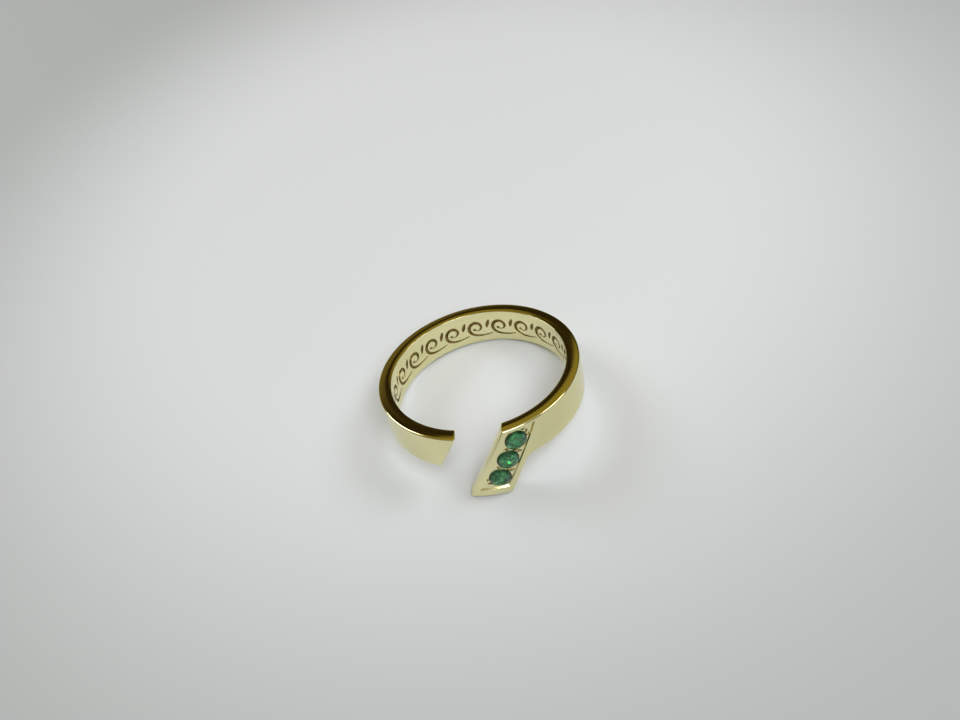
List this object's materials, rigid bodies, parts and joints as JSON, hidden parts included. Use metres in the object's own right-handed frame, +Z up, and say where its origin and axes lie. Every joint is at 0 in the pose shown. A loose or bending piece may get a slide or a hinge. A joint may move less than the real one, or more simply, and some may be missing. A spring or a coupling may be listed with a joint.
{
  "type": "adjustable open ring",
  "caption": "Open finger ring of flat polished gold with a plain slanted tail and a taller slanted head plate that holds a row of round green stones in a sunk field.",
  "frame": {"origin": "on the surface that the ring lies on, under the middle of its box", "axes": "+Z up from the surface, -Y towards the head plate and the opening, +X to the right seen from the head plate's side, so the finger axis leans back from +Z towards +Y"},
  "size_m": [0.0194, 0.0206, 0.0076],
  "materials": {
    "yellow_gold": "polished",
    "green_stone": "polished"
  },
  "bodies": {
    "root": {"band": "yellow_gold", "head": "yellow_gold", "stone_upper": "green_stone", "stone_middle": "green_stone", "stone_lower": "green_stone"}
  },
  "joints": []
}
